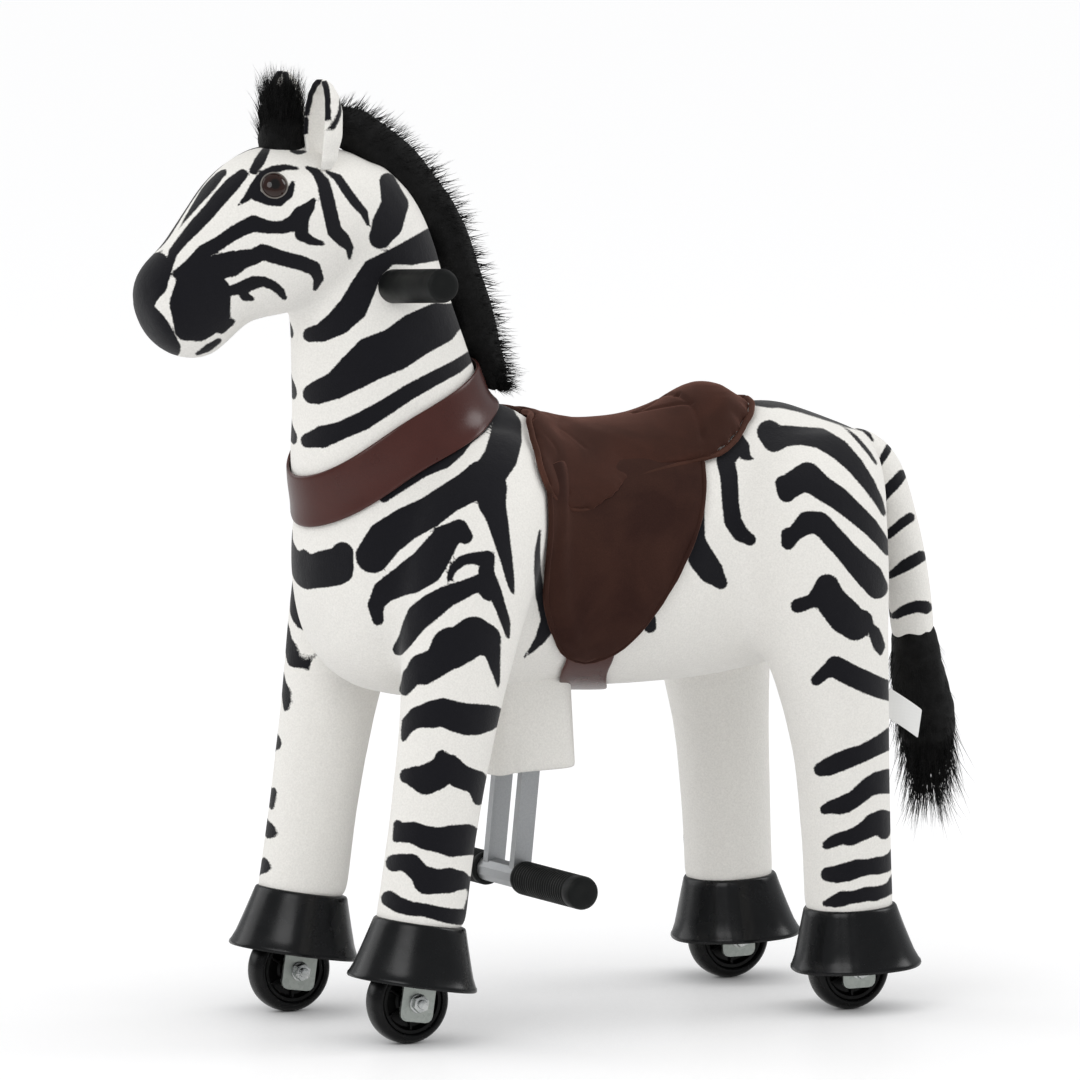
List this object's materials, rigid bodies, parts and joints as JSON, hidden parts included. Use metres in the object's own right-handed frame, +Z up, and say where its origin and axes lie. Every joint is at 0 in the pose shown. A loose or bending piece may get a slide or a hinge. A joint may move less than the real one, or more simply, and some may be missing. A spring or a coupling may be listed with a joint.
{
  "type": "plush ride-on animal",
  "caption": "Striped plush riding animal on small wheels, with steering head and handles, saddle, pedal bar and a scissor frame that rolls it forward as the rider bounces.",
  "frame": {"origin": "on the floor, below the middle of the animal's bounding box", "axes": "+Z up, +X to the animal's left, and the animal faces -Y"},
  "size_m": [0.3114, 0.7727, 0.7872],
  "materials": {
    "plush": "short pile plush, white with black stripes",
    "black_fur": "long pile black plush",
    "suede": "dark brown suede",
    "leatherette": "glossy red-brown leatherette",
    "hoof_vinyl": "glossy black vinyl",
    "steel": "zinc plated",
    "rubber": "ribbed black rubber",
    "urethane": "smooth black urethane",
    "nylon": "black nylon",
    "glass_eye": "polished brown with a dark pupil"
  },
  "bodies": {
    "chassis": {"chassis_frame": "steel", "swing_bolt": "steel", "hanger_bolt": "steel", "barrel_plush": "plush", "saddle_pan": "steel", "tail": "plush", "tail_tuft": "black_fur", "saddle_seat": "suede", "girth_strap": "leatherette", "hanger_sleeve": "plush", "rear_fork_left": "steel", "rear_fork_right": "steel", "rear_left_axle_bolt": "steel", "rear_right_axle_bolt": "steel", "hindleg_plush_left": "plush", "hindleg_plush_right": "plush", "rear_hoof_left": "hoof_vinyl", "rear_hoof_right": "hoof_vinyl", "saddle_flap_left": "suede", "saddle_flap_right": "suede"},
    "front_frame": {"front_frame": "steel", "chest_plush": "plush", "neck_collar": "leatherette", "crank_bolt_left": "steel", "crank_bolt_right": "steel", "foreleg_plush_left": "plush", "foreleg_plush_right": "plush", "front_hoof_left": "hoof_vinyl", "front_hoof_right": "hoof_vinyl"},
    "hanger": {"pedal_hanger": "steel", "link_bolt": "steel", "pedal_grip_left": "rubber", "pedal_grip_right": "rubber"},
    "links": {"hanger_link_left": "steel", "hanger_link_right": "steel"},
    "steering": {"steering_column": "steel", "neck_plush": "plush", "head_plush": "plush", "mane": "black_fur", "forelock": "black_fur", "hand_grip_left": "rubber", "hand_grip_right": "rubber", "eye_left": "glass_eye", "eye_right": "glass_eye", "ear_left": "plush", "ear_right": "plush"},
    "fork_left": {"front_fork_left": "steel", "front_left_axle_bolt": "steel"},
    "fork_right": {"front_fork_right": "steel", "front_right_axle_bolt": "steel"},
    "tie": {"tie_rod": "steel"},
    "front_left_wheel": {"front_left_tyre": "urethane", "front_left_wheel_core": "nylon"},
    "front_right_wheel": {"front_right_tyre": "urethane", "front_right_wheel_core": "nylon"},
    "rear_left_wheel": {"rear_left_tyre": "urethane", "rear_left_wheel_core": "nylon"},
    "rear_right_wheel": {"rear_right_tyre": "urethane", "rear_right_wheel_core": "nylon"}
  },
  "joints": [
    {"name": "gallop", "type": "hinge", "parent": "chassis", "child": "front_frame", "pos_m": [0, 0.043, 0.4], "axis": [1, 0, 0], "range_deg": [0, 8]},
    {"name": "hanger_swing", "type": "hinge", "parent": "chassis", "child": "hanger", "pos_m": [0, 0.143, 0.305], "axis": [1, 0, 0], "range_deg": [0, 8]},
    {"name": "link_swing", "type": "hinge", "parent": "hanger", "child": "links", "pos_m": [0, 0.193, 0.305], "axis": [1, 0, 0], "range_deg": [-8, 0]},
    {"name": "steer", "type": "hinge", "parent": "front_frame", "child": "steering", "pos_m": [0, -0.146, 0.483], "axis": [0, -0.2079, 0.9781], "range_deg": [-25, 25]},
    {"name": "fork_turn_left", "type": "hinge", "parent": "front_frame", "child": "fork_left", "pos_m": [0.103, -0.187, 0.035], "axis": [0, 0.1461, 0.9893], "range_deg": [-25, 25]},
    {"name": "front_left_spin", "type": "hinge", "parent": "fork_left", "child": "front_left_wheel", "pos_m": [0.103, -0.187, 0.035], "axis": [1, 0, 0], "continuous": true},
    {"name": "rear_left_spin", "type": "hinge", "parent": "chassis", "child": "rear_left_wheel", "pos_m": [0.103, 0.223, 0.035], "axis": [1, 0, 0], "continuous": true},
    {"name": "fork_turn_right", "type": "hinge", "parent": "front_frame", "child": "fork_right", "pos_m": [-0.103, -0.187, 0.035], "axis": [0, 0.1461, 0.9893], "range_deg": [-25, 25]},
    {"name": "front_right_spin", "type": "hinge", "parent": "fork_right", "child": "front_right_wheel", "pos_m": [-0.103, -0.187, 0.035], "axis": [1, 0, 0], "continuous": true},
    {"name": "rear_right_spin", "type": "hinge", "parent": "chassis", "child": "rear_right_wheel", "pos_m": [-0.103, 0.223, 0.035], "axis": [1, 0, 0], "continuous": true},
    {"name": "tie_turn", "type": "hinge", "parent": "steering", "child": "tie", "pos_m": [0, -0.09861, 0.42], "axis": [0, -0.2079, 0.9781], "range_deg": [-25, 25]}
  ],
  "couplings": [
    {"joint": "hanger_swing", "follows": "gallop", "ratio": 1},
    {"joint": "link_swing", "follows": "gallop", "ratio": -1},
    {"joint": "fork_turn_left", "follows": "steer", "ratio": 1},
    {"joint": "fork_turn_right", "follows": "steer", "ratio": 1},
    {"joint": "tie_turn", "follows": "steer", "ratio": -1}
  ]
}
